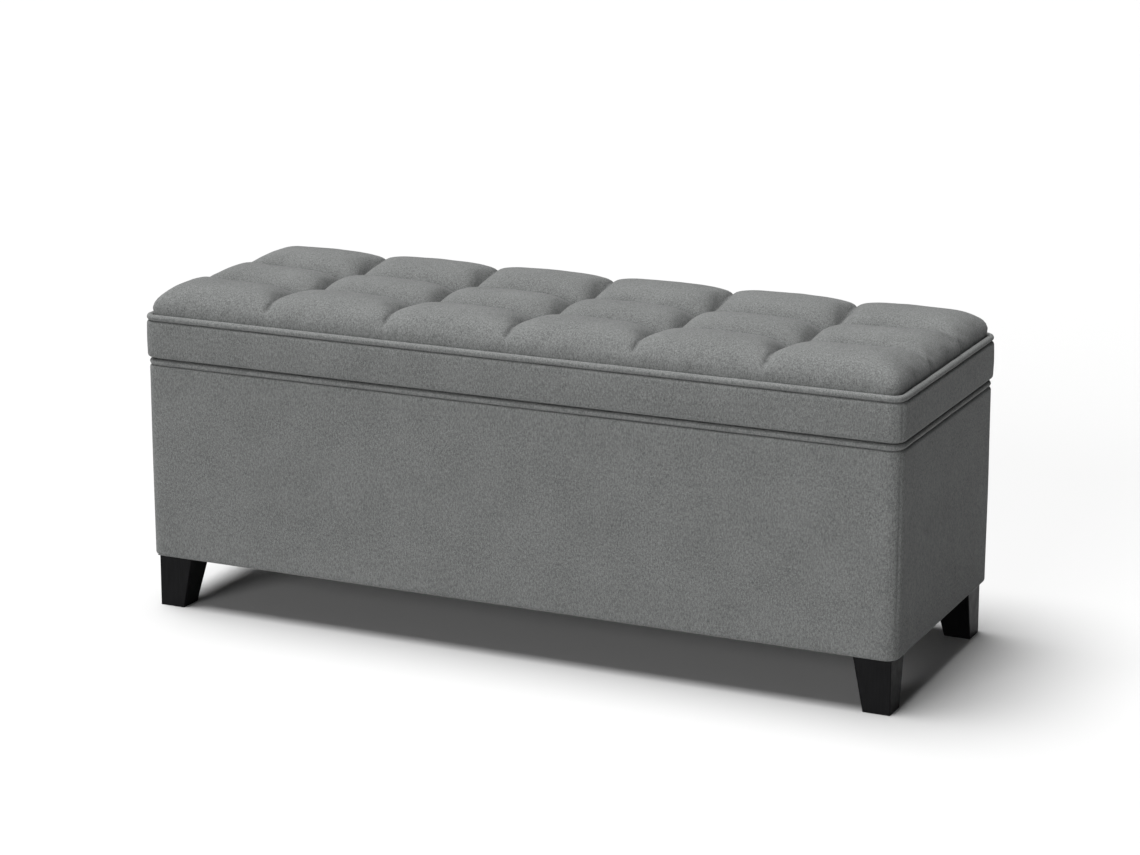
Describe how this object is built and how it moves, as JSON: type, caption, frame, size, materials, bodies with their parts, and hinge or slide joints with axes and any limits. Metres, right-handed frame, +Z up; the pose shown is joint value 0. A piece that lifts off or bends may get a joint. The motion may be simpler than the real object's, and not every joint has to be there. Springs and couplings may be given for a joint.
{
  "type": "storage bench",
  "caption": "Upholstered storage bench: a fabric-covered box on tapered legs, with a tufted lid hinged along the back and held by folding stays.",
  "frame": {"origin": "on the floor, under the middle of the bench's footprint", "axes": "+X along the bench to its right end, +Y towards the hinged back, +Z up"},
  "size_m": [1.274, 0.4585, 0.528],
  "materials": {
    "grey_fabric": "matte",
    "black_lining": "matte",
    "foam": "matte",
    "board": "matte",
    "solid_wood": "matte",
    "black_lacquer": "satin",
    "steel": "satin",
    "black_steel": "satin",
    "black_rubber": "matte",
    "twine": "matte"
  },
  "bodies": {
    "box": {"back_left_corner_post": "solid_wood", "back_left_leg": "black_lacquer", "back_left_leg_bolt": "steel", "back_left_leg_insert": "steel", "back_panel": "board", "back_right_corner_post": "solid_wood", "back_right_leg": "black_lacquer", "back_right_leg_bolt": "steel", "back_right_leg_insert": "steel", "bottom_panel": "board", "box_cover": "grey_fabric", "box_lining": "black_lining", "box_padding": "foam", "box_piping": "grey_fabric", "dust_cover": "black_lining", "front_left_corner_post": "solid_wood", "front_left_leg": "black_lacquer", "front_left_leg_bolt": "steel", "front_left_leg_insert": "steel", "front_panel": "board", "front_right_corner_post": "solid_wood", "front_right_leg": "black_lacquer", "front_right_leg_bolt": "steel", "front_right_leg_insert": "steel", "hinge_rail": "solid_wood", "left_end_panel": "board", "left_hinge_box_leaf": "steel", "left_hinge_pin": "steel", "left_lid_bumper": "black_rubber", "left_stay_box_bracket": "black_steel", "right_end_panel": "board", "right_hinge_box_leaf": "steel", "right_hinge_pin": "steel", "right_lid_bumper": "black_rubber", "right_stay_box_bracket": "black_steel", "rim_cover": "grey_fabric"},
    "lid": {"tufted_top": "grey_fabric", "lid_foam": "foam", "lid_piping": "grey_fabric", "lid_band": "grey_fabric", "lid_padding": "foam", "lid_board": "board", "lid_front_rail": "solid_wood", "lid_back_rail": "solid_wood", "lid_left_rail": "solid_wood", "lid_right_rail": "solid_wood", "lid_crossbar": "solid_wood", "lid_lining": "black_lining", "front_tufting_twine": "twine", "back_tufting_twine": "twine", "left_hinge_lid_leaf": "steel", "right_hinge_lid_leaf": "steel", "left_stay_lid_bracket": "black_steel", "right_stay_lid_bracket": "black_steel"},
    "left_lower_arm": {"left_stay_lower_arm": "black_steel", "left_stay_damper": "black_steel"},
    "left_upper_arm": {"left_stay_upper_arm": "black_steel"},
    "right_lower_arm": {"right_stay_lower_arm": "black_steel", "right_stay_damper": "black_steel"},
    "right_upper_arm": {"right_stay_upper_arm": "black_steel"}
  },
  "joints": [
    {"name": "lid_hinge", "type": "hinge", "parent": "box", "child": "lid", "pos_m": [0, 0.2253, 0.4144], "axis": [-1, 0, 0], "range_deg": [0, 90]},
    {"name": "left_lower_arm_pivot", "type": "hinge", "parent": "box", "child": "left_lower_arm", "pos_m": [-0.607, 0.05912, 0.32229], "axis": [-1, 0, 0], "range_deg": [0, 101.67]},
    {"name": "left_elbow", "type": "hinge", "parent": "left_lower_arm", "child": "left_upper_arm", "pos_m": [-0.604, -0.11055, 0.31172], "axis": [1, 0, 0], "range_deg": [0, 112.84]},
    {"name": "right_lower_arm_pivot", "type": "hinge", "parent": "box", "child": "right_lower_arm", "pos_m": [0.607, 0.05912, 0.32229], "axis": [-1, 0, 0], "range_deg": [0, 101.67]},
    {"name": "right_elbow", "type": "hinge", "parent": "right_lower_arm", "child": "right_upper_arm", "pos_m": [0.604, -0.11055, 0.31172], "axis": [1, 0, 0], "range_deg": [0, 112.84]}
  ],
  "couplings": [
    {"joint": "left_lower_arm_pivot", "follows": "lid_hinge", "ratio": 1.1241},
    {"joint": "left_elbow", "follows": "lid_hinge", "ratio": 1.2483},
    {"joint": "right_lower_arm_pivot", "follows": "lid_hinge", "ratio": 1.1241},
    {"joint": "right_elbow", "follows": "lid_hinge", "ratio": 1.2483}
  ]
}
